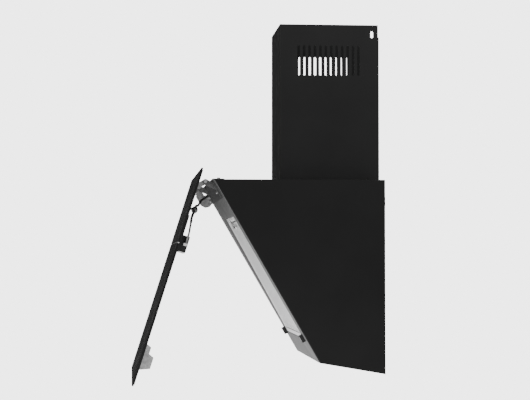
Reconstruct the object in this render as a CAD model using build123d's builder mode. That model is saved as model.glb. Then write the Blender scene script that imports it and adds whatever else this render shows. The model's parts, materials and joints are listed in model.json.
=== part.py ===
from build123d import *

import os
from math import cos, pi, radians, sin, tan

os.makedirs("parts", exist_ok=True)

# An angled cooker hood that hangs on a wall, with its glass front panel swung open.
# X runs along the wall, Y into it and Z up. The origin is on the wall, midway between the
# screws of the two wall hooks. Sizes are in millimetres.

# --- Driving dimensions -------------------------------------------------------------------
sheet = 1.2
body_width = 492
body_depth = 402.4
body_height = 455
wall_gap = 7
hook_drop = 50
front_lean = 30
bottom_rise = 9.8

panel_width = 598
panel_length = 522
glass_thickness = 4
carrier_thickness = 1.5
panel_tilt = 17.66
seam_from_top = 180
seam_gap = 2.4

hinge_out = 16
hinge_up = 5.7
hinge_below_panel_top = 21.6
pin_radius = 2.5
knuckle_radius = 6
running_gap = 0.05

filter_width = 374
filter_length = 331
filter_thickness = 9
opening_width = 378
opening_length = 335
opening_from_top = 98

chimney_width = 225
chimney_depth = 242
chimney_rise = 384
duct_radius = 75
collar_height = 60

fan_centre = (-176, -118)
fan_width = 150
wheel_radius = 77

# --- Places worked out from them ----------------------------------------------------------
half_body = body_width / 2
top_z = hook_drop
bottom_z = top_z - body_height
back_y = -wall_gap
front_y = back_y - body_depth
lean_tan = tan(radians(front_lean))
rise_tan = tan(radians(bottom_rise))
foot_depth = (body_depth - body_height * lean_tan) / (1 - rise_tan * lean_tan)
foot_z = bottom_z + foot_depth * rise_tan
slope_length = (top_z - foot_z) / cos(radians(front_lean))
floor_length = foot_depth / cos(radians(bottom_rise))

down_slope = Vector(0, sin(radians(front_lean)), -cos(radians(front_lean)))
off_slope = Vector(0, -cos(radians(front_lean)), -sin(radians(front_lean)))
top_corner = Vector(0, front_y, top_z)
hinge_axis = top_corner - down_slope * hinge_up + off_slope * hinge_out

up_panel = Vector(0, sin(radians(panel_tilt)), cos(radians(panel_tilt)))
off_panel = Vector(0, -cos(radians(panel_tilt)), sin(radians(panel_tilt)))
panel_top = hinge_axis + up_panel * hinge_below_panel_top + off_panel * hinge_out
panel_thickness = glass_thickness + carrier_thickness

filter_recess_head = 6.5
filter_recess_foot = 0.5
filter_gap = (opening_length - filter_length) / 2
filter_lean_in = (filter_recess_head - filter_recess_foot) / filter_length
filter_foot_down = opening_from_top + opening_length - filter_gap
filter_foot = top_corner + down_slope * filter_foot_down - off_slope * filter_recess_foot
filter_up = (-down_slope - off_slope * filter_lean_in).normalized()
filter_out = Vector(1, 0, 0).cross(filter_up)

duct_y = -chimney_depth / 2
deck_z = top_z - sheet
chimney_z = deck_z + 0.1
chimney_top = top_z + chimney_rise

# The slope plane lies in the casing's front, from its top edge: y runs up it, z out of it.
slope = Plane(origin=top_corner, x_dir=(1, 0, 0), z_dir=off_slope)
# The panel plane lies in the panel's inner face, from its top edge: y up it, z out of it.
panel = Plane(origin=panel_top, x_dir=(1, 0, 0), z_dir=off_panel)
# The filter plane lies in the filter's outer face, from its foot: y runs up it, z out of it.
filter_face = Plane(origin=filter_foot, x_dir=(1, 0, 0), z_dir=filter_out)


def slope_section(x):
    """A plane across the casing at x: its x runs down the front and its y out of it."""
    return Plane(origin=top_corner + Vector(x, 0, 0), x_dir=down_slope, z_dir=(-1, 0, 0))


def panel_section(x):
    """A plane across the panel at x: its x runs down the panel and its y into the room behind it."""
    return Plane(origin=panel_top + Vector(x, 0, 0), x_dir=-up_panel, z_dir=(1, 0, 0))


def panel_point(x, down, inward):
    """A point that far down the panel and in from its inner face."""
    return panel_top + Vector(x, 0, 0) - up_panel * down - off_panel * inward


def slope_point(x, down, outward):
    """A point that far down the casing's front and out from it."""
    return top_corner + Vector(x, 0, 0) + down_slope * down + off_slope * outward


def filter_section(x):
    """A plane across the filter at x: its x runs up the filter and its y out of it."""
    return Plane(origin=filter_foot + Vector(x, 0, 0), x_dir=filter_up, z_dir=(1, 0, 0))


def fan_section(x):
    """A plane across the fan at x, on the wheel's axis."""
    return Plane(origin=(x, *fan_centre), x_dir=(0, 1, 0), z_dir=(1, 0, 0))


def save(piece, name):
    """Label a finished piece and write it as parts/NAME.step."""
    piece.part.label = name
    export_step(piece.part, f"parts/{name}.step")


def mirrored(piece):
    """The same piece on the other side of the casing."""
    return mirror(piece.part, about=Plane.YZ)


# --- Casing: two folded sides, top, back, bottom and front frame ---------------------------
side_flange = 18
fold_radius = 2
side_front_y = front_y + sheet / cos(radians(front_lean))
side_foot_depth = (-wall_gap - side_front_y - body_height * lean_tan) / (1 - rise_tan * lean_tan)

with BuildPart() as side_panel_right:
    with BuildSketch(Plane.YZ.offset(half_body)):
        with BuildLine():
            Polyline(
                (side_front_y, top_z),
                (back_y, top_z),
                (back_y, bottom_z),
                (back_y - side_foot_depth, bottom_z + side_foot_depth * rise_tan),
                close=True,
            )
        make_face()
    extrude(amount=-side_flange)
    outer_face = side_panel_right.faces().sort_by(Axis.X)[-1]
    fillet(outer_face.edges(), radius=fold_radius)
    inner_face = side_panel_right.faces().sort_by(Axis.X)[0]
    offset(amount=-sheet, openings=inner_face)
save(side_panel_right, "side_panel_right")

with BuildPart() as side_panel_left:
    add(mirrored(side_panel_right))
save(side_panel_left, "side_panel_left")

inner_width = body_width - 2 * sheet - 2 * fold_radius
deck_front = front_y + 6
deck_back = back_y - sheet - 0.2
screw_radius = 2
head_radius = 4

with BuildPart() as top_panel:
    with BuildSketch(Plane.XY.offset(deck_z - sheet)):
        with Locations((0, (deck_front + deck_back) / 2)):
            Rectangle(inner_width, deck_back - deck_front)
        with Locations((0, duct_y)):
            Circle(duct_radius - 1.5, mode=Mode.SUBTRACT)
        with Locations((90, -24)):
            Circle(8, mode=Mode.SUBTRACT)
    extrude(amount=sheet)
save(top_panel, "top_panel")

hook_x = 189
hook_plate = (30, 21)
window_height = 25.3
window_top = 11.3
buffer_radius = 8
buffer_z = -355
back_face = back_y - sheet

with BuildPart() as back_panel:
    with BuildSketch(Plane.XZ.offset(-back_face)):
        with Locations((0, (top_z + bottom_z) / 2)):
            Rectangle(inner_width, body_height - 4 * sheet - 0.6)
        with Locations((-hook_x, window_top - window_height / 2), (hook_x, window_top - window_height / 2)):
            Rectangle(38, window_height, mode=Mode.SUBTRACT)
    extrude(amount=sheet)
    fillet(back_panel.edges().filter_by(Axis.Y), radius=2)
save(back_panel, "back_panel")

lamp_x = 150
lamp_radius = 29
lamp_from_back = 84
floor_back = 4
floor_front = 1.5

# The bottom plane lies in the casing's underside, from its back edge: y forwards, z down.
underside = Plane(
    origin=(0, back_y, bottom_z),
    x_dir=(1, 0, 0),
    z_dir=(0, -sin(radians(bottom_rise)), -cos(radians(bottom_rise))),
)

with BuildPart() as bottom_panel:
    with BuildSketch(underside.offset(-2 * sheet)):
        with Locations((0, (floor_back + floor_length - floor_front) / 2)):
            Rectangle(inner_width, floor_length - floor_back - floor_front)
        with Locations((-lamp_x, lamp_from_back), (lamp_x, lamp_from_back)):
            Circle(lamp_radius - 2, mode=Mode.SUBTRACT)
    extrude(amount=sheet)
save(bottom_panel, "bottom_panel")

frame_width = body_width - 2
lip_depth = 14
opening_middle = -(opening_from_top + opening_length / 2)
filter_pivot = (5, -4.5)
filter_pin_radius = 2.5
cable_exit_x = -206
cable_exit_down = 24
cable_radius = 3
grommet_radius = 8

with BuildPart() as front_frame:
    with BuildSketch(slope.offset(-sheet)):
        with Locations((0, -slope_length / 2 - 0.5)):
            Rectangle(frame_width, slope_length - 2)
        with Locations((0, opening_middle)):
            Rectangle(opening_width, opening_length, mode=Mode.SUBTRACT)
        with Locations((cable_exit_x, -cable_exit_down)):
            Circle(grommet_radius, mode=Mode.SUBTRACT)
    extrude(amount=sheet)
    with BuildSketch(slope.offset(-sheet)):
        with Locations((0, opening_middle)):
            Rectangle(opening_width + 2 * sheet, opening_length + 2 * sheet)
            Rectangle(opening_width, opening_length, mode=Mode.SUBTRACT)
    extrude(amount=-lip_depth)
    with BuildSketch(filter_section(-half_body)):
        with Locations(filter_pivot):
            Circle(filter_pin_radius)
    extrude(amount=body_width, mode=Mode.SUBTRACT)
save(front_frame, "front_frame")

# --- Hinge rail, folded over the casing's top front edge ----------------------------------
rail_width = body_width - 6
rail_sheet = 1.5
rail_down = 48
rail_back = 26
rail_screw_x = (-half_body + 14, -80, 80, half_body - 14)
rail_screw_y = front_y + 12

fold_tan = tan(radians(45 + front_lean / 2))
rail_inner = Vector(-0.1 * fold_tan, 0.1)
rail_outer = Vector(-rail_sheet * fold_tan, rail_sheet)
rail_back_end = Vector(sin(radians(front_lean)), -cos(radians(front_lean))) * rail_back

with BuildPart() as hinge_rail:
    with BuildSketch(slope_section(rail_width / 2)):
        with BuildLine():
            Polyline(
                (rail_down, 0.1),
                rail_inner,
                rail_inner + rail_back_end,
                rail_outer + rail_back_end,
                rail_outer,
                (rail_down, rail_sheet),
                close=True,
            )
        make_face()
    extrude(amount=rail_width)
    with BuildSketch(slope.offset(-1)):
        with Locations((cable_exit_x, -cable_exit_down)):
            Circle(grommet_radius)
    extrude(amount=6, mode=Mode.SUBTRACT)
save(hinge_rail, "hinge_rail")

with BuildPart() as rail_screws:
    with BuildSketch(Plane.XY.offset(top_z + rail_sheet)):
        with Locations([(x, rail_screw_y) for x in rail_screw_x]):
            Circle(head_radius)
    extrude(amount=2.8)
    fillet(rail_screws.faces().sort_by(Axis.Z)[-4:].edges(), radius=1.4)
    with BuildSketch(Plane.XY.offset(top_z + rail_sheet + 1.6)):
        with Locations([(x, rail_screw_y) for x in rail_screw_x]):
            Rectangle(3.6, 0.9)
            Rectangle(0.9, 3.6)
    extrude(amount=2, mode=Mode.SUBTRACT)
save(rail_screws, "rail_screws")

# --- Wall hooks and buffers ----------------------------------------------------------------
hook_screw_radius = 3
hook_thickness = 4
hook_arm_top = 11
hook_arm_bottom = 8
hook_reach = 14.5
hook_lip_top = 19

with BuildPart() as wall_hooks:
    with BuildSketch(Plane.YZ.offset(hook_x - hook_plate[0] / 2)):
        with BuildLine():
            Polyline(
                (0, hook_arm_top - hook_plate[1]),
                (0, hook_arm_top),
                (3 - hook_reach, hook_arm_top),
                (3 - hook_reach, hook_lip_top),
                (-hook_reach, hook_lip_top),
                (-hook_reach, hook_arm_bottom),
                (-hook_thickness, hook_arm_bottom),
                (-hook_thickness, hook_arm_top - hook_plate[1]),
                close=True,
            )
        make_face()
    extrude(amount=hook_plate[0])
    with BuildSketch(Plane.XZ):
        with Locations((hook_x, 0)):
            Circle(hook_screw_radius)
    extrude(amount=hook_thickness + 1, both=True, mode=Mode.SUBTRACT)
    add(mirrored(wall_hooks))
save(wall_hooks, "wall_hooks")

with BuildPart() as wall_buffers:
    with BuildSketch(Plane.XZ):
        with Locations((-hook_x, buffer_z), (hook_x, buffer_z)):
            Circle(buffer_radius)
    extrude(amount=-back_face)
    fillet(wall_buffers.faces().sort_by(Axis.Y)[-2:].edges(), radius=1.5)
save(wall_buffers, "wall_buffers")

# --- Chimney -------------------------------------------------------------------------------
chimney_flange = 20
notch_height = 30
notch_depth = 2.2
air_slots = 12
air_slot_pitch = 13.3
air_slot_width = 6.3
air_slot_length = 73.4
air_slot_drop = 51
first_air_slot = 45.5
fix_slot_from_back = 17.3
fix_slot_drop = 23.4
fix_slot_length = 16.8
fix_slot_width = 6.8
half_chimney = chimney_width / 2

with BuildPart() as chimney_cover:
    with BuildSketch(Plane.XY.offset(chimney_z)):
        with Locations((0, -chimney_depth / 2)):
            Rectangle(chimney_width, chimney_depth)
    extrude(amount=chimney_top - chimney_z)
    fillet(chimney_cover.edges().filter_by(Axis.Z).group_by(Axis.Y)[0], radius=fold_radius)
    offset(amount=-sheet, openings=chimney_cover.faces().filter_by(Axis.Z))
    with BuildSketch(Plane.XY.offset(chimney_z)):
        Rectangle(chimney_width - 2 * chimney_flange, 4 * sheet)
    extrude(amount=chimney_top - chimney_z, mode=Mode.SUBTRACT)
    with BuildSketch(Plane.XY.offset(chimney_top - notch_height)):
        Rectangle(chimney_width + 2, 2 * notch_depth)
    extrude(amount=notch_height, mode=Mode.SUBTRACT)
    with BuildSketch(Plane.YZ):
        air_slot_middle = chimney_top - air_slot_drop - air_slot_length / 2
        first_y = -chimney_depth + first_air_slot
        with Locations([(first_y + i * air_slot_pitch, air_slot_middle) for i in range(air_slots)]):
            SlotOverall(air_slot_length, air_slot_width, rotation=90)
    extrude(amount=chimney_width, both=True, mode=Mode.SUBTRACT)
    with BuildSketch(Plane.YZ):
        with Locations((-fix_slot_from_back, chimney_top - fix_slot_drop)):
            SlotOverall(fix_slot_length, fix_slot_width, rotation=90)
    extrude(amount=chimney_width, mode=Mode.SUBTRACT)
save(chimney_cover, "chimney_cover")

foot_width = 15
foot_height = 12
foot_y = (-200, -18)
foot_screw_x = half_chimney + 0.2 + foot_width / 2

with BuildPart() as chimney_feet:
    for y in foot_y:
        with BuildSketch(Plane.XZ.offset(-y - 9)):
            with BuildLine():
                Polyline(
                    (half_chimney + 0.2, deck_z),
                    (half_chimney + 0.2 + foot_width, deck_z),
                    (half_chimney + 0.2 + foot_width, deck_z + sheet),
                    (half_chimney + 0.2 + sheet, deck_z + sheet),
                    (half_chimney + 0.2 + sheet, deck_z + foot_height),
                    (half_chimney + 0.2, deck_z + foot_height),
                    close=True,
                )
            make_face()
        extrude(amount=18)
    add(mirrored(chimney_feet))
save(chimney_feet, "chimney_feet")

with BuildPart() as foot_screws:
    with BuildSketch(Plane.XY.offset(deck_z + sheet)):
        with Locations([(s * foot_screw_x, y) for s in (-1, 1) for y in foot_y]):
            Circle(head_radius)
    extrude(amount=2.6)
    fillet(foot_screws.faces().sort_by(Axis.Z)[-4:].edges(), radius=1.3)
    with BuildSketch(Plane.XY.offset(deck_z + sheet + 1.4)):
        with Locations([(s * foot_screw_x, y) for s in (-1, 1) for y in foot_y]):
            Rectangle(3.6, 0.9)
            Rectangle(0.9, 3.6)
    extrude(amount=2, mode=Mode.SUBTRACT)
save(foot_screws, "foot_screws")

# --- Outlet collar and its two non-return flaps --------------------------------------------
collar_wall = 2
collar_base = 176
collar_top = deck_z + collar_height
flap_z = deck_z + 26
flap_sheet = 1.2
flap_radius = duct_radius - collar_wall - 1
rod_radius = 2
knuckle_wall = 1.6
rod_gap = 0.05
flap_from_rod = 3.9
flap_knuckles = {"front": (-48, 0, 48), "rear": (-24, 24)}
flap_knuckle_length = 20

with BuildPart() as outlet_collar:
    with BuildSketch(Plane.XY.offset(deck_z)):
        with Locations((0, duct_y)):
            RectangleRounded(collar_base, collar_base, 8)
            Circle(duct_radius - collar_wall, mode=Mode.SUBTRACT)
    extrude(amount=1.5)
    with BuildSketch(Plane.XY.offset(deck_z)):
        with Locations((0, duct_y)):
            Circle(duct_radius)
            Circle(duct_radius - collar_wall, mode=Mode.SUBTRACT)
    extrude(amount=collar_height)
    with BuildSketch(Plane.YZ):
        with Locations((duct_y, flap_z)):
            Circle(rod_radius)
    extrude(amount=duct_radius + 5, both=True, mode=Mode.SUBTRACT)
save(outlet_collar, "outlet_collar")

with BuildPart() as flap_rod:
    with BuildSketch(Plane.YZ):
        with Locations((duct_y, flap_z)):
            Circle(rod_radius)
    extrude(amount=duct_radius - 0.4, both=True)
save(flap_rod, "flap_rod")


def non_return_flap(side, knuckles):
    """A half disc hinged on the rod: side is -1 for the front flap and 1 for the rear one."""
    with BuildPart() as flap:
        with BuildSketch(Plane.XY.offset(flap_z - flap_sheet / 2)):
            with Locations((0, duct_y)):
                Circle(flap_radius)
            with Locations((0, duct_y - side * (flap_radius - flap_from_rod))):
                Rectangle(2 * flap_radius, 2 * flap_radius, mode=Mode.SUBTRACT)
        extrude(amount=flap_sheet)
        for x in knuckles:
            with BuildSketch(Plane.YZ.offset(x - flap_knuckle_length / 2)):
                with Locations((duct_y, flap_z)):
                    Circle(rod_radius + knuckle_wall)
                with Locations((duct_y + side * flap_from_rod / 2, flap_z)):
                    Rectangle(flap_from_rod + 1, flap_sheet)
                with Locations((duct_y, flap_z)):
                    Circle(rod_radius + rod_gap, mode=Mode.SUBTRACT)
            extrude(amount=flap_knuckle_length)
    return flap


save(non_return_flap(-1, flap_knuckles["front"]), "flap_front")
save(non_return_flap(1, flap_knuckles["rear"]), "flap_rear")

# --- Fan: scroll housing, motor and double-inlet wheel -------------------------------------
scroll_wall = 2.5
scroll_start = 112
scroll_end = 360
scroll_steps = 8
scroll_inner = 86
scroll_growth = 34
outlet_half = 74
outlet_z = deck_z - sheet - 0.4
inlet_radius = 65


def scroll_point(step):
    """A point on the housing's spiral, which opens steadily from the tongue round to the outlet."""
    share = step / scroll_steps
    turn = radians(scroll_start + share * (scroll_end - scroll_start))
    radius = scroll_inner + share * scroll_growth
    return (fan_centre[0] + radius * cos(turn), fan_centre[1] + radius * sin(turn))


scroll_curve = [scroll_point(i) for i in range(scroll_steps + 1)]

with BuildPart() as scroll:
    with BuildSketch(Plane.YZ.offset(-fan_width / 2)):
        with BuildLine():
            Spline(*scroll_curve)
            Polyline(
                scroll_curve[-1],
                (duct_y + outlet_half, outlet_z - 40),
                (duct_y + outlet_half, outlet_z),
                (duct_y - outlet_half, outlet_z),
                (duct_y - outlet_half, outlet_z - 40),
                scroll_curve[0],
            )
        make_face()
    extrude(amount=fan_width)
    outlet_face = scroll.faces().sort_by(Axis.Z)[-1]
    offset(amount=-scroll_wall, openings=outlet_face)
    with BuildSketch(fan_section(-fan_width)):
        Circle(inlet_radius)
    extrude(amount=2 * fan_width, mode=Mode.SUBTRACT)

with BuildPart() as scroll_half_right:
    add(scroll.part)
    split(bisect_by=Plane.YZ.offset(0.05), keep=Keep.TOP)
save(scroll_half_right, "scroll_half_right")

with BuildPart() as scroll_half_left:
    add(scroll.part)
    split(bisect_by=Plane.YZ.offset(-0.05), keep=Keep.BOTTOM)
save(scroll_half_left, "scroll_half_left")

shaft_radius = 4
motor_radius = 48
motor_front = -14
motor_back = -fan_width / 2 - 22

with BuildPart() as motor:
    with BuildSketch(fan_section(motor_back)):
        Circle(motor_radius)
    extrude(amount=motor_front - motor_back)
    fillet(motor.edges().filter_by(GeomType.CIRCLE), radius=5)
    with BuildSketch(fan_section(motor_front)):
        Circle(14)
    extrude(amount=3)
    with BuildSketch(fan_section(motor_front - 40)):
        Circle(shaft_radius + running_gap)
    extrude(amount=60, mode=Mode.SUBTRACT)
save(motor, "motor")

mount_ring = motor_radius + 4
mount_reach = inlet_radius + 10
mount_x = -fan_width / 2 - 4

with BuildPart() as motor_mount:
    with BuildSketch(fan_section(mount_x)):
        Circle(mount_ring)
        with PolarLocations(0, 3, start_angle=90):
            Rectangle(mount_reach, 16, align=(Align.MIN, Align.CENTER))
        Circle(motor_radius + 0.1, mode=Mode.SUBTRACT)
    extrude(amount=3.9)
    with BuildSketch(fan_section(mount_x)):
        Circle(mount_ring)
        Circle(motor_radius + 0.1, mode=Mode.SUBTRACT)
    extrude(amount=-12)
save(motor_mount, "motor_mount")

with BuildPart() as motor_shaft:
    with BuildSketch(fan_section(motor_front - 38)):
        Circle(shaft_radius)
    extrude(amount=58)
    chamfer(motor_shaft.edges().filter_by(GeomType.CIRCLE), length=0.5)
save(motor_shaft, "motor_shaft")

blade_count = 36
blade_depth = 13
wheel_half = 62
wheel_hub_radius = 13
wheel_disc_x = -4
wheel_disc = 2.5

with BuildPart() as fan_wheel:
    with BuildSketch(fan_section(-wheel_half)):
        with PolarLocations(wheel_radius - blade_depth / 2 - 1, blade_count):
            Rectangle(blade_depth, 1.4, rotation=32)
    extrude(amount=2 * wheel_half)
    for x in (-wheel_half, wheel_disc_x, wheel_half - 3):
        with BuildSketch(fan_section(x)):
            Circle(wheel_radius)
            Circle(wheel_radius - blade_depth - 1, mode=Mode.SUBTRACT)
        extrude(amount=3)
    with BuildSketch(fan_section(wheel_disc_x)):
        Circle(wheel_radius)
    extrude(amount=wheel_disc)
    with BuildSketch(fan_section(wheel_disc_x)):
        Circle(wheel_hub_radius)
    extrude(amount=18)
    with BuildSketch(fan_section(wheel_disc_x - 5)):
        Circle(shaft_radius)
    extrude(amount=40, mode=Mode.SUBTRACT)
save(fan_wheel, "fan_wheel")

guard_x = fan_width / 2 + 0.2
guard_rings = (20, 36, 52, 68)

with BuildPart() as inlet_guard:
    with BuildSketch(fan_section(guard_x)):
        for ring in guard_rings:
            Circle(ring + 1.2)
            Circle(ring - 1.2, mode=Mode.SUBTRACT)
    extrude(amount=2.4)
    with BuildSketch(fan_section(guard_x)):
        with PolarLocations(0, 4, start_angle=45):
            Rectangle(guard_rings[-1] + 6, 5, align=(Align.MIN, Align.CENTER))
    extrude(amount=2.4)
save(inlet_guard, "inlet_guard")

# --- Electrics: box, lid, capacitor and mains gland ----------------------------------------
box_x = -half_body + 20
box_size = (34, 120, 80)
box_corner = (box_x, back_y - 40 - box_size[1], -70)
box_wall = 2

with BuildPart() as electronics_box:
    with BuildSketch(Plane.YZ.offset(box_x)):
        with Locations((box_corner[1] + box_size[1] / 2, box_corner[2] + box_size[2] / 2)):
            RectangleRounded(box_size[1], box_size[2], 4)
    extrude(amount=box_size[0])
    offset(amount=-box_wall, openings=electronics_box.faces().sort_by(Axis.X)[-1])
save(electronics_box, "electronics_box")

with BuildPart() as electronics_lid:
    with BuildSketch(Plane.YZ.offset(box_x + box_size[0] + 0.1)):
        with Locations((box_corner[1] + box_size[1] / 2, box_corner[2] + box_size[2] / 2)):
            RectangleRounded(box_size[1], box_size[2], 4)
    extrude(amount=2)
    fillet(electronics_lid.faces().sort_by(Axis.X)[-1].edges(), radius=0.8)
save(electronics_lid, "electronics_lid")

gland_place = (90, -24)
with BuildPart() as mains_gland:
    with BuildSketch(Plane.XY.offset(deck_z)):
        with Locations(gland_place):
            RegularPolygon(11, 6)
    extrude(amount=6)
    with BuildSketch(Plane.XY.offset(deck_z - 10)):
        with Locations(gland_place):
            Circle(7.8)
    extrude(amount=24)
    with BuildSketch(Plane.XY.offset(deck_z - 11)):
        with Locations(gland_place):
            Circle(4)
    extrude(amount=40, mode=Mode.SUBTRACT)
save(mains_gland, "mains_gland")

# --- Lamps in the underside ----------------------------------------------------------------
lamp_places = [(-lamp_x, lamp_from_back), (lamp_x, lamp_from_back)]

with BuildPart() as lamp_bezels:
    with BuildSketch(underside.offset(-sheet)):
        with Locations(lamp_places):
            Circle(lamp_radius + 4)
            Circle(lamp_radius - 3, mode=Mode.SUBTRACT)
    extrude(amount=1.6)
    fillet(lamp_bezels.edges().filter_by(GeomType.CIRCLE).group_by(SortBy.RADIUS)[-1], radius=0.6)
save(lamp_bezels, "lamp_bezels")

with BuildPart() as lamp_lenses:
    with BuildSketch(underside.offset(-sheet)):
        with Locations(lamp_places):
            Circle(lamp_radius - 3.2)
    extrude(amount=1)
save(lamp_lenses, "lamp_lenses")

with BuildPart() as lamp_housings:
    with BuildSketch(underside.offset(-sheet - 0.1)):
        with Locations(lamp_places):
            Circle(lamp_radius - 3.2)
    extrude(amount=-18)
    fillet(lamp_housings.edges().filter_by(GeomType.CIRCLE), radius=1.5)
save(lamp_housings, "lamp_housings")

# --- Grease filter: frame, mesh, pivots, magnets and bail handle ---------------------------
rail = 11
mesh_gap = 0.2
mesh_recess = 1.5
mesh_sheet = 0.6
bail_pivot = (filter_length - rail / 2, 3)
bail_radius = 2
bail_width = 52
bail_drop = 24
lug_inner = 30
lug_width = 6

with BuildPart() as filter_frame:
    with BuildSketch(filter_face):
        with Locations((0, filter_length / 2)):
            RectangleRounded(filter_width, filter_length, 3)
            Rectangle(filter_width - 2 * rail, filter_length - 2 * rail, mode=Mode.SUBTRACT)
    extrude(amount=-filter_thickness)
    with BuildSketch(filter_section(-half_body)):
        with Locations(filter_pivot):
            Circle(filter_pin_radius + running_gap)
    extrude(amount=body_width, mode=Mode.SUBTRACT)
    for x in (-lug_inner - lug_width, lug_inner):
        with BuildSketch(filter_section(x)):
            with Locations((bail_pivot[0], bail_pivot[1] / 2)):
                Rectangle(8, bail_pivot[1])
            with Locations(bail_pivot):
                Circle(4)
                Circle(bail_radius + running_gap, mode=Mode.SUBTRACT)
        extrude(amount=lug_width)
save(filter_frame, "filter_frame")

with BuildPart() as filter_mesh:
    with BuildSketch(filter_face.offset(-mesh_recess)):
        with Locations((0, filter_length / 2)):
            Rectangle(filter_width - 2 * rail - mesh_gap, filter_length - 2 * rail - mesh_gap)
    extrude(amount=-mesh_sheet)
    with BuildSketch(filter_face.offset(mesh_recess + mesh_sheet - filter_thickness)):
        with Locations((0, filter_length / 2)):
            Rectangle(filter_width - 2 * rail - mesh_gap, filter_length - 2 * rail - mesh_gap)
    extrude(amount=-mesh_sheet)
save(filter_mesh, "filter_mesh")

with BuildPart() as filter_handle:
    with BuildLine(filter_face.offset(bail_pivot[1])) as bail:
        FilletPolyline(
            (-lug_inner - lug_width - 1, bail_pivot[0]),
            (-bail_width / 2, bail_pivot[0]),
            (-bail_width / 2, bail_pivot[0] - bail_drop),
            (bail_width / 2, bail_pivot[0] - bail_drop),
            (bail_width / 2, bail_pivot[0]),
            (lug_inner + lug_width + 1, bail_pivot[0]),
            radius=3.5,
        )
    with BuildSketch(filter_section(-lug_inner - lug_width - 1)):
        with Locations(bail_pivot):
            Circle(bail_radius)
    sweep(path=bail.wires()[0])
save(filter_handle, "filter_handle")

pin_inner = filter_width / 2 - 8
pin_outer = opening_width / 2 + sheet + 0.1

with BuildPart() as filter_pins:
    with BuildSketch(filter_section(pin_inner)):
        with Locations(filter_pivot):
            Circle(filter_pin_radius)
    extrude(amount=pin_outer - pin_inner)
    with BuildSketch(filter_section(pin_outer)):
        with Locations(filter_pivot):
            Circle(filter_pin_radius + 0.6)
    extrude(amount=1.5)
    add(mirrored(filter_pins))
save(filter_pins, "filter_pins")

with BuildPart() as filter_magnets:
    for x in (-60, 60):
        with BuildSketch(slope_section(x + 20)):
            with Locations((opening_from_top + 0.75, -9)):
                Rectangle(1.5, 8)
        extrude(amount=40)
save(filter_magnets, "filter_magnets")

# --- Front panel: carrier, two glass panes and the trim between them -----------------------
carrier_inset = 4
arris = 0.9
seam_top = seam_from_top - seam_gap / 2
seam_foot = seam_from_top + seam_gap / 2
out_of_panel = Axis(panel_top, off_panel)

with BuildPart() as panel_carrier:
    with BuildSketch(panel):
        with Locations((0, -panel_length / 2)):
            RectangleRounded(panel_width - 2 * carrier_inset, panel_length - 2 * carrier_inset, 4)
    extrude(amount=carrier_thickness)
save(panel_carrier, "panel_carrier")


def glass_pane(top, foot):
    """A pane of the panel between two distances from its top, with its outer arrises ground."""
    with BuildPart() as pane:
        with BuildSketch(panel.offset(carrier_thickness)):
            with Locations((0, -(top + foot) / 2)):
                Rectangle(panel_width, foot - top)
        extrude(amount=glass_thickness)
        chamfer(pane.faces().sort_by(out_of_panel)[-1].edges(), length=arris)
    return pane


save(glass_pane(0, seam_top), "glass_upper")
save(glass_pane(seam_foot, panel_length), "glass_lower")

with BuildPart() as seam_trim:
    with BuildSketch(panel.offset(carrier_thickness)):
        with Locations((0, -seam_from_top)):
            Rectangle(panel_width - 1, seam_gap - 0.3)
    extrude(amount=glass_thickness - 0.5)
save(seam_trim, "seam_trim")

# --- Hinges: leaves on the rail and on the carrier, pins between them ----------------------
hinge_x = 170
leaf_width = 40
leaf_thickness = 2.5
middle_knuckle = 15.4
knuckle_gap = 0.3
axis_on_slope = (-hinge_up, hinge_out)
axis_on_panel = (hinge_below_panel_top, hinge_out)
outer_knuckle = (leaf_width - middle_knuckle) / 2 - knuckle_gap
leaf_screw_radius = 3
leaf_screw_height = 1.8


def knuckle_arm(axis, root, hole):
    """The profile of a leaf's arm: from its root on the leaf, round the pin at the axis."""
    with BuildSketch() as arm:
        with Locations(axis):
            Circle(knuckle_radius)
        with Locations(root):
            Rectangle(14, leaf_thickness)
        make_hull()
        with Locations(axis):
            Circle(hole, mode=Mode.SUBTRACT)
    return arm.sketch


rail_leaf_middle = rail_sheet + 0.1 + leaf_thickness / 2
rail_leaf_arm = knuckle_arm(axis_on_slope, (13, rail_leaf_middle), pin_radius)
panel_leaf_arm = knuckle_arm(axis_on_panel, (37, leaf_thickness / 2), pin_radius + running_gap)

with BuildPart() as rail_leaves:
    for x in (-hinge_x, hinge_x):
        with BuildSketch(slope_section(x + leaf_width / 2)):
            with Locations((25, rail_leaf_middle)):
                Rectangle(38, leaf_thickness)
        extrude(amount=leaf_width)
        for start in (x + leaf_width / 2, x - leaf_width / 2 + outer_knuckle):
            with BuildSketch(slope_section(start)):
                add(rail_leaf_arm)
            extrude(amount=outer_knuckle)
save(rail_leaves, "rail_leaves")

with BuildPart() as panel_leaves:
    for x in (-hinge_x, hinge_x):
        with BuildSketch(panel_section(x - leaf_width / 2)):
            with Locations((47, leaf_thickness / 2)):
                Rectangle(34, leaf_thickness)
        extrude(amount=leaf_width)
        with BuildSketch(panel_section(x - middle_knuckle / 2)):
            add(panel_leaf_arm)
        extrude(amount=middle_knuckle)
save(panel_leaves, "panel_leaves")

with BuildPart() as hinge_pins:
    for x in (-hinge_x, hinge_x):
        with BuildSketch(slope_section(x + leaf_width / 2 + 1.5)):
            with Locations(axis_on_slope):
                Circle(pin_radius)
        extrude(amount=leaf_width + 3)
        with BuildSketch(slope_section(x + leaf_width / 2 + 1.5)):
            with Locations(axis_on_slope):
                Circle(pin_radius + 1.2)
        extrude(amount=1.4)
save(hinge_pins, "hinge_pins")

# --- Friction stay at the far hinge: a plate on the rail, an arm on the panel and a rivet --
stay_x = -232
stay_sheet = 2
stay_foot = (19, 46)
stay_foot_width = 13
stay_eye = 8
arm_x = stay_x + 2.1
arm_gap = 0.3

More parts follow.
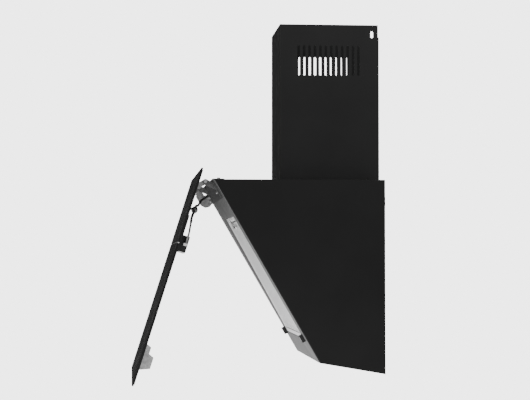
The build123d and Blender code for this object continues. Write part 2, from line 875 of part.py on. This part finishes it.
with BuildPart() as stay_plate:
    with BuildSketch(slope_section(stay_x)) as stay_outline:
        with BuildLine():
            Polyline(
                (18.3, rail_sheet + 0.1),
                (18.3, 9.8),
                (-2, 9.8),
                (-2, 23),
                (10.3, 30.5),
                (36.3, 30.5),
                (47.3, 23),
                (50.3, 12),
                (46, rail_sheet + 0.1),
                close=True,
            )
        make_face()
        fillet(stay_outline.vertices().sort_by(Axis.Y)[2:], radius=3)
        with Locations(axis_on_slope):
            Circle(stay_eye)
            Circle(pin_radius, mode=Mode.SUBTRACT)
    extrude(amount=stay_sheet)
    with BuildSketch(slope_section(stay_x + stay_foot_width)):
        with Locations(((stay_foot[0] + stay_foot[1]) / 2, rail_sheet + 0.1 + stay_sheet / 2)):
            Rectangle(stay_foot[1] - stay_foot[0], stay_sheet)
    extrude(amount=stay_foot_width)
save(stay_plate, "stay_plate")

with BuildPart() as stay_arm:
    with BuildSketch(panel_section(arm_x + arm_gap)) as arm_outline:
        with Locations(axis_on_panel):
            Circle(stay_eye)
        with Locations((42, 1)):
            Rectangle(36, 2)
        make_hull()
        with Locations(axis_on_panel):
            Circle(pin_radius + running_gap, mode=Mode.SUBTRACT)
    extrude(amount=stay_sheet)
    with BuildSketch(panel_section(arm_x + arm_gap)):
        with Locations((42, 1)):
            Rectangle(36, 2)
    extrude(amount=15)
save(stay_arm, "stay_arm")

with BuildPart() as stay_rivet:
    with BuildSketch(slope_section(arm_x + arm_gap + stay_sheet + 0.2)):
        with Locations(axis_on_slope):
            Circle(pin_radius)
    extrude(amount=2 * stay_sheet + 0.4 + 1)
    for x in (arm_x + arm_gap + stay_sheet + 0.2 + 1.6, stay_x - stay_sheet):
        with BuildSketch(slope_section(x)):
            with Locations(axis_on_slope):
                Circle(5)
        extrude(amount=1.6)
    with BuildSketch(slope_section(arm_x)):
        with Locations(axis_on_slope):
            Circle(6)
            Circle(pin_radius, mode=Mode.SUBTRACT)
    extrude(amount=2.1)
save(stay_rivet, "stay_rivet")

leaf_screws_at = [(x + dx, -30) for x in (-hinge_x, hinge_x) for dx in (-13, 0, 13)]
stay_screws_at = [(stay_x + 7.5, -27), (stay_x + 7.5, -39)]
panel_screws_at = [(x + dx, -54) for x in (-hinge_x, hinge_x) for dx in (-13, 13)]
arm_screws_at = [(arm_x + 10, -32), (arm_x + 10, -52)]


def screw_heads(plane, places):
    """Dome heads with a cross recess, on a plane."""
    with BuildPart() as heads:
        with BuildSketch(plane):
            with Locations(places):
                Circle(leaf_screw_radius)
        extrude(amount=leaf_screw_height)
        out_of_plane = Axis(plane.origin, plane.z_dir)
        fillet(heads.faces().sort_by(out_of_plane)[-len(places) :].edges(), radius=1)
        with BuildSketch(plane.offset(leaf_screw_height - 0.9)):
            with Locations(places):
                Rectangle(2.8, 0.7)
                Rectangle(0.7, 2.8)
        extrude(amount=2, mode=Mode.SUBTRACT)
    return heads


with BuildPart() as hinge_screws:
    add(screw_heads(slope.offset(rail_sheet + 0.1 + leaf_thickness), leaf_screws_at))
    add(screw_heads(slope.offset(rail_sheet + 0.1 + stay_sheet), stay_screws_at))
save(hinge_screws, "hinge_screws")

inside_panel = Plane(origin=panel_top, x_dir=(-1, 0, 0), z_dir=-off_panel)
with BuildPart() as panel_screws:
    add(screw_heads(inside_panel.offset(leaf_thickness), [(-x, y) for x, y in panel_screws_at]))
    add(screw_heads(inside_panel.offset(stay_sheet), [(-x, y) for x, y in arm_screws_at]))
save(panel_screws, "panel_screws")

# --- Strikes on the panel and magnetic catches on the casing -------------------------------
catch_x = 207
strike_width = 24
strike_tip = 25.4
catch_top = 418.6
catch_length = 18
catch_height = 8.5
catch_width = 22

with BuildPart() as strikes:
    with BuildSketch(panel_section(catch_x - strike_width / 2)):
        with BuildLine():
            Polyline((441, 0), (452, strike_tip), (478, strike_tip), (488, 0), close=True)
        make_face()
    extrude(amount=strike_width)
    offset(amount=-1.5, openings=strikes.faces().sort_by(out_of_panel)[-1], kind=Kind.INTERSECTION)
    add(mirrored(strikes))
save(strikes, "strikes")

with BuildPart() as catch_housings:
    for x in (-catch_x, catch_x):
        with BuildSketch(slope_section(x + catch_width / 2)):
            with Locations((catch_top + catch_length / 2, catch_height / 2)):
                Rectangle(catch_length, catch_height)
        extrude(amount=catch_width)
    out_of_slope = Axis(top_corner, off_slope)
    fillet(catch_housings.faces().sort_by(out_of_slope)[-2:].edges(), radius=1)
    with BuildSketch(slope.offset(catch_height - 2)):
        with Locations([(x, -catch_top - catch_length / 2) for x in (-catch_x, catch_x)]):
            Rectangle(catch_width - 8, catch_length - 8)
    extrude(amount=3, mode=Mode.SUBTRACT)
save(catch_housings, "catch_housings")

with BuildPart() as catch_magnets:
    with BuildSketch(slope.offset(catch_height - 2)):
        with Locations([(x, -catch_top - catch_length / 2) for x in (-catch_x, catch_x)]):
            Rectangle(catch_width - 8.1, catch_length - 8.1)
    extrude(amount=1.9)
save(catch_magnets, "catch_magnets")

# --- Control housing behind the glass ------------------------------------------------------
control_half = 85
control_base = (105, 197)
control_block = (155, 195)
base_height = 8
block_height = 25.3
control_wall = 2

with BuildPart() as control_housing:
    with BuildSketch(panel_section(-control_half)):
        with BuildLine():
            Polyline(
                (control_base[0], 0),
                (control_base[0], base_height),
                (control_block[0], base_height),
                (control_block[0], block_height),
                (control_block[1], block_height),
                (control_block[1], base_height),
                (control_base[1], base_height),
                (control_base[1], 0),
                close=True,
            )
        make_face()
    extrude(amount=2 * control_half)
    offset(
        amount=-control_wall,
        openings=control_housing.faces().sort_by(out_of_panel)[-1],
        kind=Kind.INTERSECTION,
    )
    fillet(control_housing.faces().sort_by(out_of_panel)[0].edges(), radius=1)
save(control_housing, "control_housing")

with BuildPart() as control_cover:
    with BuildSketch(panel_section(2 - control_half)):
        with Locations((control_block[1] + 0.95, (base_height + block_height) / 2)):
            Rectangle(1.7, block_height - base_height - 2)
    extrude(amount=2 * control_half - 4)
save(control_cover, "control_cover")

with BuildPart() as control_board:
    with BuildSketch(panel_section(5 - control_half)):
        with Locations(((control_base[0] + control_base[1]) / 2, 2.8)):
            Rectangle(84, 1.6)
    extrude(amount=2 * control_half - 10)
save(control_board, "control_board")

# --- Control cable: out of the rail, across the hinge and down to the control housing ------
sleeve_radius = 3.2
core_radius = 6.5
core_length = 24
lead_radius = 1.5
lead_apart = (1.6, 1)

grommet_lip = 2.4
core_middle = panel_point(-60, 83, 19.4)
sleeve_end = panel_point(40, 118, 17.3)
cable_along = (sleeve_end - core_middle).normalized()
core_start = core_middle - cable_along * (core_length / 2)
core_end = core_middle + cable_along * (core_length / 2)


def corner_radii(points, share):
    """A radius for each corner of a route, as large as its two runs allow."""
    radii = []
    for before, corner, after in zip(points, points[1:], points[2:]):
        run_in = corner - before
        run_out = after - corner
        half_turn = radians(run_in.get_angle(run_out) / 2)
        radii.append(share * min(run_in.length, run_out.length) / tan(half_turn))
    return radii


def tube(points, radius):
    """A round cord of that radius along a route: straight runs joined by tangent arcs."""
    radii = corner_radii(points, 0.45)
    with BuildPart() as cord:
        with BuildLine() as route:
            FilletPolyline(*points, radius=radii)
        start = Plane(origin=points[0], z_dir=points[1] - points[0])
        with BuildSketch(start):
            Circle(radius)
        sweep(path=route.wires()[0])
    section_times_length = pi * radius**2 * route.wires()[0].length
    print("radii", [round(r, 1) for r in radii], "volume share", cord.part.volume / section_times_length)
    return cord


with BuildPart() as cable_grommet:
    with BuildSketch(slope.offset(-sheet - grommet_lip)):
        with Locations((cable_exit_x, -cable_exit_down)):
            Circle(grommet_radius - 0.1)
            Circle(cable_radius, mode=Mode.SUBTRACT)
    extrude(amount=grommet_lip + sheet + rail_sheet + 0.1 + grommet_lip)
    with BuildSketch(slope.offset(rail_sheet + 0.1)):
        with Locations((cable_exit_x, -cable_exit_down)):
            Circle(grommet_radius + 2)
            Circle(cable_radius, mode=Mode.SUBTRACT)
    extrude(amount=grommet_lip)
    fillet(cable_grommet.faces().sort_by(out_of_slope)[-1].edges(), radius=0.9)
save(cable_grommet, "cable_grommet")

cable_start = slope_point(cable_exit_x, cable_exit_down, rail_sheet + 0.1 + grommet_lip)
cable_rise = cable_start + off_slope * 9
cable_lean = (off_slope + (core_start - cable_rise).normalized()).normalized()
cable_over = cable_rise + cable_lean * 17
cable_under = core_start - cable_along * 26
cable_sag = Vector(0, 0, -5)
hinge_route = [
    cable_start,
    cable_rise,
    cable_over,
    cable_over + (cable_under - cable_over) * 0.35 + cable_sag,
    cable_over + (cable_under - cable_over) * 0.68 + cable_sag,
    cable_under,
    core_start,
]
save(tube(hinge_route, cable_radius), "hinge_cable")

sleeve_route = [core_end, panel_point(-4, 105, 16.4), sleeve_end]
save(tube(sleeve_route, sleeve_radius), "sleeve_cable")

with BuildPart() as ferrite_core:
    with BuildSketch(Plane(origin=core_start, z_dir=cable_along)):
        Circle(core_radius)
    extrude(amount=core_length)
    fillet(ferrite_core.edges().filter_by(GeomType.CIRCLE), radius=1.2)
save(ferrite_core, "ferrite_core")

clip_plane = Plane(origin=core_middle, x_dir=off_panel, z_dir=cable_along)
clip_length = 6
with BuildPart() as cable_clip:
    with BuildSketch(clip_plane.offset(-clip_length / 2)):
        Circle(core_radius + 1.6)
        Rectangle(19, 5, align=(Align.MIN, Align.CENTER))
        Circle(core_radius, mode=Mode.SUBTRACT)
    extrude(amount=clip_length)
    with BuildSketch(inside_panel):
        with Locations((60, -83)):
            RectangleRounded(18, 14, 2)
    extrude(amount=1.6)
save(cable_clip, "cable_clip")

plug_down = 173
with BuildPart() as control_leads:
    for i in (-1, 1):
        lead_shift = Vector(i * lead_apart[0], 0, 0) + off_panel * (i * lead_apart[1])
        lead_route = [
            sleeve_end + lead_shift,
            panel_point(66, 131, 18.2) + lead_shift,
            panel_point(89, 148, 19.8) + lead_shift,
            panel_point(93, plug_down, 19.6) + lead_shift,
        ]
        add(tube(lead_route, lead_radius))
save(control_leads, "control_leads")

with BuildPart() as lead_plug:
    with BuildSketch(panel_section(control_half)):
        with Locations((plug_down + 3, 19)):
            RectangleRounded(6, 9, 1)
    extrude(amount=14)
save(lead_plug, "lead_plug")
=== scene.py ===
import json
from math import cos, radians, sin

import bpy
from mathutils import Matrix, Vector


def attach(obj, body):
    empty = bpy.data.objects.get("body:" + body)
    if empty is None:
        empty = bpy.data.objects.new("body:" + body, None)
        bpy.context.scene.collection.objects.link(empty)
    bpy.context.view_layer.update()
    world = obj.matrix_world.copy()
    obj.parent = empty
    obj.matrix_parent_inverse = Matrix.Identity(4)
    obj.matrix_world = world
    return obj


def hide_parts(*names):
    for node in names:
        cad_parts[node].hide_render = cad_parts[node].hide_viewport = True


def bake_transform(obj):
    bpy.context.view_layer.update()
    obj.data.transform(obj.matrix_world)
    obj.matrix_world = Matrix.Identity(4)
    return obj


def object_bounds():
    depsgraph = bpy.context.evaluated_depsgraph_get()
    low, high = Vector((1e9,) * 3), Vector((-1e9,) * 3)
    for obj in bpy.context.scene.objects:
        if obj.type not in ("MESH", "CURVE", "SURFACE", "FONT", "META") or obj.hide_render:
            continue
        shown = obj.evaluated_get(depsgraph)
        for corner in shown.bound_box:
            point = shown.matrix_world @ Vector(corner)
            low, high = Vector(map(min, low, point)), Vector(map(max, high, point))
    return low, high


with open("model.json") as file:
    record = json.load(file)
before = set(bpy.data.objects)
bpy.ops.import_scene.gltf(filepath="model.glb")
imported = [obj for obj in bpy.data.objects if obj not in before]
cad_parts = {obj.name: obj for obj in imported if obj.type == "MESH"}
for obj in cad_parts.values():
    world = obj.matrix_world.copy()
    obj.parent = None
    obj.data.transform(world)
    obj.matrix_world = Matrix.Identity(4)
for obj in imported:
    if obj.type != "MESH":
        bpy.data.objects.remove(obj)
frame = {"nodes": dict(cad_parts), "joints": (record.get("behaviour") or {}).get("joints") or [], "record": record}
cad_box = [list(corner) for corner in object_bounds()]
joints = {joint["name"]: joint for joint in frame["joints"]}

# --- Camera, floor and light ----------------------------------------------------------------
CAMERA_PLACE = (3.854, -0.6007, -0.130)
CAMERA_AIM = (0, -0.2688, 0.0106)
LENS = 105.7
FLOOR_DROP = 1.5
FLOOR_SIZE = 8
FLOOR_TONE = 0.9
ROOM_STRENGTH = 1.0
BACKDROP_STRENGTH = 4.0

# The dark cards stand beyond the hood's far side, at one x. Their corners are given as (y, z).
FLAG_X = -0.6
FLAG_TONE = 0.045
PANEL_FLAG = [(-0.26, 0.45), (-0.64, -0.75), (-3.2, 0.1), (-2.8, 1.3)]
CHIMNEY_FLAG = [(-0.25, 0.06), (-0.25, 0.9), (-2.5, 0.9), (-2.5, 0.06)]


def make_camera():
    """A long lens that looks along the wall at the hood's side."""
    data = bpy.data.cameras.new("camera")
    data.sensor_width = 36
    data.lens = LENS
    camera = bpy.data.objects.new("camera", data)
    camera.location = CAMERA_PLACE
    aim = Vector(CAMERA_AIM) - Vector(CAMERA_PLACE)
    camera.rotation_euler = aim.to_track_quat("-Z", "Y").to_euler()
    bpy.context.collection.objects.link(camera)
    bpy.context.scene.camera = camera


def soft_light(name, place, target, size, power):
    """A square area light aimed at a point."""
    data = bpy.data.lights.new(name, "AREA")
    data.size = size
    data.energy = power
    light = bpy.data.objects.new(name, data)
    light.location = place
    aim = Vector(target) - Vector(place)
    light.rotation_euler = aim.to_track_quat("-Z", "Y").to_euler()
    bpy.context.collection.objects.link(light)


def grey_card(name, corners, tone, roughness):
    """A flat four-cornered card of one grey."""
    mesh = bpy.data.meshes.new(name)
    mesh.from_pydata(corners, [], [(0, 1, 2, 3)])
    card = bpy.data.objects.new(name, mesh)
    bpy.context.collection.objects.link(card)
    finish = bpy.data.materials.new(name)
    finish.use_nodes = True
    shader = finish.node_tree.nodes["Principled BSDF"]
    shader.inputs["Base Color"].default_value = (tone, tone, tone, 1)
    shader.inputs["Roughness"].default_value = roughness
    mesh.materials.append(finish)
    return card


def make_floor():
    """A plain pale floor, well below the hood."""
    height = cad_box[0][2] - FLOOR_DROP
    half = FLOOR_SIZE / 2
    corners = [(-half, -half, height), (half, -half, height), (half, half, height), (-half, half, height)]
    floor = grey_card("floor", corners, FLOOR_TONE, roughness=0.8)


def make_backdrop():
    """A white studio whose backdrop, as the camera sees it, is brighter than the light on the hood."""
    world = bpy.data.worlds.new("studio")
    bpy.context.scene.world = world
    world.use_nodes = True
    nodes, links = world.node_tree.nodes, world.node_tree.links
    nodes["Background"].inputs["Strength"].default_value = ROOM_STRENGTH
    backdrop = nodes.new("ShaderNodeBackground")
    backdrop.inputs["Strength"].default_value = BACKDROP_STRENGTH
    for background in (nodes["Background"], backdrop):
        background.inputs["Color"].default_value = (1, 1, 1, 1)
    seen = nodes.new("ShaderNodeLightPath")
    mix = nodes.new("ShaderNodeMixShader")
    links.new(seen.outputs["Is Camera Ray"], mix.inputs[0])
    links.new(nodes["Background"].outputs[0], mix.inputs[1])
    links.new(backdrop.outputs[0], mix.inputs[2])
    links.new(mix.outputs[0], nodes["World Output"].inputs["Surface"])


def dark_flag(name, outline):
    """A dark grey card that the camera doesn't see: it only darkens reflections."""
    flag = grey_card(name, [(FLAG_X, y, z) for y, z in outline], FLAG_TONE, roughness=1.0)
    flag.visible_camera = False
    flag.visible_diffuse = False
    flag.visible_shadow = False


make_camera()
make_floor()
make_backdrop()
dark_flag("panel_flag", PANEL_FLAG)
dark_flag("chimney_flag", CHIMNEY_FLAG)
soft_light("key", (1.2, -2.4, 2.2), (0, -0.25, 0), size=1.6, power=30)
soft_light("under", (0.7, -0.6, -1.3), (0, -0.3, -0.15), size=0.8, power=26)

# --- Hinge cable -----------------------------------------------------------------------------
CABLE_RADIUS = 0.003

# From the grommet in the hinge rail to the ferrite core on the panel, in metres.
CABLE_ROUTE = [
    (-0.2060, -0.4009, 0.0272),
    (-0.2060, -0.4087, 0.0227),
    (-0.1960, -0.4201, 0.0151),
    (-0.1610, -0.4260, 0.0045),
    (-0.1279, -0.4316, -0.0008),
    (-0.0959, -0.4370, -0.0009),
    (-0.0713, -0.4401, -0.0089),
]


def route_curve(name, route):
    """A smooth open NURBS curve through a cable's route."""
    curve = bpy.data.curves.new(name, "CURVE")
    curve.dimensions = "3D"
    spline = curve.splines.new("NURBS")
    spline.points.add(len(route) - 1)
    for point, place in zip(spline.points, route):
        point.co = (*place, 1)
    spline.order_u = 3
    spline.use_endpoint_u = True
    spline.resolution_u = 12
    return curve


def cable_tube(name, route, radius):
    """A mesh tube along a route, with the points that it follows."""
    curve = route_curve(name, route)
    holder = bpy.data.objects.new(name + "_route", curve)
    path = [tuple(v.co) for v in bpy.data.meshes.new_from_object(holder).vertices]
    curve.bevel_depth = radius
    curve.bevel_resolution = 5
    curve.use_fill_caps = True
    mesh = bpy.data.meshes.new_from_object(holder)
    mesh.name = name
    bpy.data.objects.remove(holder)
    tube = bpy.data.objects.new(name, mesh)
    bpy.context.collection.objects.link(tube)
    return tube, path


cable, cable_path = cable_tube("panel_cable", CABLE_ROUTE, CABLE_RADIUS)
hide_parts("hinge_cable")

# --- Grease filter's expanded mesh -----------------------------------------------------------
# The filter leans forward. Its size is width and length, and its pivot's place is (up, out).
FILTER_LEAN = radians(28.96)
FILTER_SIZE = (0.374, 0.331)
FILTER_RAIL = 0.0112
PIVOT_ON_FILTER = (0.005, -0.0045)

# A cell's width and height, the strand's share of the cell, and each layer's place out from the face.
MESH_CELL = (0.012, 0.006)
MESH_STRAND = 0.3
MESH_LAYERS = (-0.0018, -0.0072)
MESH_THICKNESS = 0.0004
STRAND_LIFT = 0.00018

filter_up = Vector((0, -sin(FILTER_LEAN), cos(FILTER_LEAN)))
filter_out = Vector((0, -cos(FILTER_LEAN), -sin(FILTER_LEAN)))
filter_pivot = Vector(joints["filter_hinge"]["pos_m"])
filter_foot = filter_pivot - filter_up * PIVOT_ON_FILTER[0] - filter_out * PIVOT_ON_FILTER[1]


def filter_point(across, up, out):
    """A place on the filter: across from its middle, up from its foot and out from its face."""
    return filter_foot + Vector((across, 0, 0)) + filter_up * up + filter_out * out


def diamond(across, up, depth):
    """One cell: an outer diamond and a smaller one in it, with the strand between them twisted."""
    wide, high = MESH_CELL
    ring = []
    for share, lift in ((1, 0.0), (1 - MESH_STRAND, STRAND_LIFT)):
        for dx, dy in ((1, 0), (0, 1), (-1, 0), (0, -1)):
            x = across + dx * share * wide / 2
            y = up + dy * share * high / 2
            ring.append(filter_point(x, y, depth + lift * (1 if dx else -1)))
    return ring


def cell_places():
    """The middle of each cell, with every other row half a cell to the side."""
    wide, high = MESH_CELL
    half_width = FILTER_SIZE[0] / 2 - FILTER_RAIL
    length = FILTER_SIZE[1] - 2 * FILTER_RAIL
    columns = int(2 * half_width / wide)
    for row in range(int(length / (high / 2)) - 1):
        for column in range(columns - row % 2):
            across = -half_width + wide * (column + 0.5 + (row % 2) / 2)
            yield across, FILTER_RAIL + high / 2 + row * high / 2


def expanded_mesh():
    """Two layers of expanded aluminium sheet: diamond cells with raised strands."""
    vertices, faces = [], []
    for depth in MESH_LAYERS:
        for across, up in cell_places():
            base = len(vertices)
            vertices += diamond(across, up, depth)
            for i in range(4):
                j = (i + 1) % 4
                faces.append((base + i, base + j, base + 4 + j, base + 4 + i))
    mesh = bpy.data.meshes.new("filter_mesh_lattice")
    mesh.from_pydata(vertices, [], faces)
    lattice = bpy.data.objects.new("filter_mesh_lattice", mesh)
    bpy.context.collection.objects.link(lattice)
    thickness = lattice.modifiers.new("thickness", "SOLIDIFY")
    thickness.thickness = MESH_THICKNESS
    thickness.offset = 0
    return lattice


lattice = expanded_mesh()
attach(lattice, "grease_filter")
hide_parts("filter_mesh")


# --- Material building blocks -----------------------------------------------------------------
# Most values of a noise texture lie between these two.
NOISE_LOW, NOISE_HIGH = 0.3, 0.7


class Surface:
    """A principled material whose colour, roughness and bump come from procedural textures."""

    def __init__(self, name, metallic=0.0, specular=0.5, ior=1.5):
        self.material = bpy.data.materials.new(name)
        self.material.use_nodes = True
        tree = self.material.node_tree
        self.nodes, self.links = tree.nodes, tree.links
        self.shader = self.nodes["Principled BSDF"]
        self.shader.inputs["Metallic"].default_value = metallic
        self.shader.inputs["Specular IOR Level"].default_value = specular
        self.shader.inputs["IOR"].default_value = ior
        self.place = self.nodes.new("ShaderNodeTexCoord").outputs["Object"]

    def stretched(self, scale):
        """Object coordinates scaled differently along each axis."""
        mapping = self.nodes.new("ShaderNodeMapping")
        mapping.inputs["Scale"].default_value = scale
        self.links.new(self.place, mapping.inputs["Vector"])
        return mapping.outputs["Vector"]

    def noise(self, scale, detail=3.0, vector=None):
        """A noise texture's value."""
        texture = self.nodes.new("ShaderNodeTexNoise")
        texture.inputs["Scale"].default_value = scale
        texture.inputs["Detail"].default_value = detail
        self.links.new(vector or self.place, texture.inputs["Vector"])
        return texture.outputs["Fac"]

    def cells(self, scale):
        """The distance to the nearest point of a cell pattern."""
        texture = self.nodes.new("ShaderNodeTexVoronoi")
        texture.inputs["Scale"].default_value = scale
        self.links.new(self.place, texture.inputs["Vector"])
        return texture.outputs["Distance"]

    def colour(self, source, low, high, start=NOISE_LOW, end=NOISE_HIGH):
        """Base colour between two colours, by a source value."""
        ramp = self.nodes.new("ShaderNodeValToRGB")
        ramp.color_ramp.elements[0].position = start
        ramp.color_ramp.elements[0].color = (*low, 1)
        ramp.color_ramp.elements[1].position = end
        ramp.color_ramp.elements[1].color = (*high, 1)
        self.links.new(source, ramp.inputs["Fac"])
        self.links.new(ramp.outputs["Color"], self.shader.inputs["Base Color"])
        return self

    def roughness(self, source, low, high):
        """Roughness between two numbers, by a source value."""
        node = self.nodes.new("ShaderNodeMapRange")
        node.inputs["From Min"].default_value = NOISE_LOW
        node.inputs["From Max"].default_value = NOISE_HIGH
        node.inputs["To Min"].default_value = low
        node.inputs["To Max"].default_value = high
        self.links.new(source, node.inputs["Value"])
        self.links.new(node.outputs["Result"], self.shader.inputs["Roughness"])
        return self

    def bump(self, *sources, strength=0.3, distance=0.0003):
        """Bump from one or more heights, each on top of the last."""
        normal = None
        for source in sources:
            node = self.nodes.new("ShaderNodeBump")
            node.inputs["Strength"].default_value = strength
            node.inputs["Distance"].default_value = distance
            self.links.new(source, node.inputs["Height"])
            if normal:
                self.links.new(normal, node.inputs["Normal"])
            normal = node.outputs["Normal"]
        self.links.new(normal, self.shader.inputs["Normal"])
        return self


def grey(value):
    """A colour that is one grey."""
    return (value, value, value)


def powder_coat(name, low, high, rough, specular):
    """Satin powder coat: faint orange peel, a little handling haze."""
    surface = Surface(name, specular=specular)
    haze = surface.noise(6, 5)
    surface.colour(haze, grey(low), grey(high))
    surface.roughness(surface.noise(14, 6), rough - 0.06, rough + 0.08)
    return surface.bump(surface.noise(900, 2), surface.noise(2600, 1), strength=0.12).material


def zinc(name, low, high, rough, spangle=160):
    """Zinc plated steel: mottled spangle over fine rolling lines."""
    surface = Surface(name, metallic=0.85, specular=0.5)
    mottle = surface.cells(spangle)
    surface.colour(mottle, grey(low), grey(high), 0.1, 0.8)
    surface.roughness(surface.noise(220, 4), rough - 0.08, rough + 0.1)
    lines = surface.noise(60, 4, surface.stretched((4, 40, 40)))
    return surface.bump(lines, surface.noise(1500, 2), strength=0.1).material


def moulded(name, low, high, rough, specular=0.35):
    """Moulded plastic with spark-eroded texture and slightly uneven gloss."""
    surface = Surface(name, specular=specular)
    surface.colour(surface.noise(22, 4), low, high)
    surface.roughness(surface.noise(60, 4), rough - 0.07, rough + 0.07)
    return surface.bump(surface.noise(1400, 3), strength=0.2).material


def sheathing(name, low, high, rough):
    """Extruded cable sheath: soft sheen, faint drag marks and dust."""
    surface = Surface(name, specular=0.3)
    surface.colour(surface.noise(90, 5), grey(low), grey(high))
    surface.roughness(surface.noise(300, 3), rough - 0.08, rough + 0.1)
    return surface.bump(surface.noise(1800, 2), strength=0.15).material


def satin_metal(name, low, high, rough, metallic=1.0):
    """Drawn or pressed metal with fine lines along the wall."""
    surface = Surface(name, metallic=metallic)
    lines = surface.noise(120, 6, surface.stretched((1, 14, 14)))
    surface.colour(lines, grey(low), grey(high))
    surface.roughness(surface.noise(35, 5), rough - 0.06, rough + 0.1)
    return surface.bump(lines, strength=0.08).material


def black_glass():
    """Back-painted glass: deep black, low in gloss, with faint wiping marks."""
    surface = Surface("black_glass", specular=0.05, ior=1.1)
    surface.colour(surface.noise(3, 4), grey(0.011), grey(0.015))
    wipes = surface.noise(9, 6, surface.stretched((1, 5, 2)))
    return surface.roughness(wipes, 0.14, 0.26).material


def circuit_board():
    """Green solder mask, with a brick pattern in place of the tracks under it."""
    surface = Surface("circuit_board", specular=0.5)
    tracks = surface.nodes.new("ShaderNodeTexBrick")
    tracks.inputs["Scale"].default_value = 160
    tracks.inputs["Color1"].default_value = (0.01, 0.07, 0.03, 1)
    tracks.inputs["Color2"].default_value = (0.015, 0.09, 0.035, 1)
    tracks.inputs["Mortar"].default_value = (0.03, 0.16, 0.06, 1)
    surface.links.new(surface.place, tracks.inputs["Vector"])
    surface.links.new(tracks.outputs["Color"], surface.shader.inputs["Base Color"])
    surface.roughness(surface.noise(80), 0.3, 0.45)
    return surface.bump(tracks.outputs["Fac"], strength=0.2).material


def lamp_glass():
    """Frosted lens: pale, soft and finely grained all over."""
    surface = Surface("lamp_glass", specular=0.5)
    surface.shader.inputs["Subsurface Weight"].default_value = 0.4
    surface.shader.inputs["Subsurface Radius"].default_value = (0.004, 0.004, 0.004)
    surface.colour(surface.noise(40, 3), (0.78, 0.78, 0.75), (0.86, 0.86, 0.84))
    surface.roughness(surface.noise(400, 2), 0.25, 0.4)
    return surface.bump(surface.noise(1200, 2), strength=0.2).material


finishes = {
    "casing_paint": powder_coat("casing_paint", 0.0055, 0.0075, 0.42, 0.12),
    "frame_paint": powder_coat("frame_paint", 0.1, 0.125, 0.45, 0.2),
    "chimney_paint": powder_coat("chimney_paint", 0.009, 0.013, 0.4, 0.16),
    "carrier_paint": powder_coat("carrier_paint", 0.012, 0.016, 0.45, 0.2),
    "zinc_steel": zinc("zinc_steel", 0.24, 0.34, 0.5),
    "galvanised_sheet": zinc("galvanised_sheet", 0.3, 0.5, 0.42, 110),
    "screw_steel": zinc("screw_steel", 0.3, 0.42, 0.36, 400),
    "rubber_black": sheathing("rubber_black", 0.012, 0.02, 0.75),
    "cable_black": sheathing("cable_black", 0.012, 0.022, 0.5),
    "lead_grey": sheathing("lead_grey", 0.2, 0.28, 0.45),
    "duct_plastic": moulded("duct_plastic", grey(0.02), grey(0.03), 0.55),
    "wheel_plastic": moulded("wheel_plastic", grey(0.03), grey(0.045), 0.5),
    "control_plastic": moulded("control_plastic", grey(0.008), grey(0.013), 0.5, 0.25),
    "light_plastic": moulded("light_plastic", grey(0.62), grey(0.68), 0.45),
    "ferrite_grey": moulded("ferrite_grey", grey(0.13), grey(0.17), 0.35, 0.4),
    "motor_body": satin_metal("motor_body", 0.25, 0.34, 0.5),
    "trim_aluminium": satin_metal("trim_aluminium", 0.6, 0.72, 0.3),
    "filter_aluminium": satin_metal("filter_aluminium", 0.84, 0.94, 0.42, 0.45),
    "handle_wire": satin_metal("handle_wire", 0.6, 0.68, 0.18),
    "magnet_nickel": satin_metal("magnet_nickel", 0.42, 0.5, 0.25),
    "lamp_trim": satin_metal("lamp_trim", 0.45, 0.55, 0.3),
    "lamp_body": satin_metal("lamp_body", 0.3, 0.4, 0.5),
    "black_glass": black_glass(),
    "circuit_board": circuit_board(),
    "lamp_glass": lamp_glass(),
}


def dress(piece, finish):
    """Give a piece one finish on all its faces."""
    if piece.data.materials:
        for slot in piece.material_slots:
            slot.material = finish
    else:
        piece.data.materials.append(finish)


for part in frame["record"]["subparts"]:
    dress(frame["nodes"][part["node"]], finishes[part["material_slot"]])

# The hinge rail and its leaves get a darker copy of the zinc than the other zinc pieces: painted shade, standing
# in for the shade the rail sits in.
painted_shade_zinc = zinc("painted_shade_zinc", 0.09, 0.14, 0.5)
for node in ("hinge_rail", "rail_leaves"):
    dress(frame["nodes"][node], painted_shade_zinc)
dress(cable, finishes["cable_black"])
dress(lattice, finishes["filter_aluminium"])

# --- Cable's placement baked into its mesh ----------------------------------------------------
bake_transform(cable)
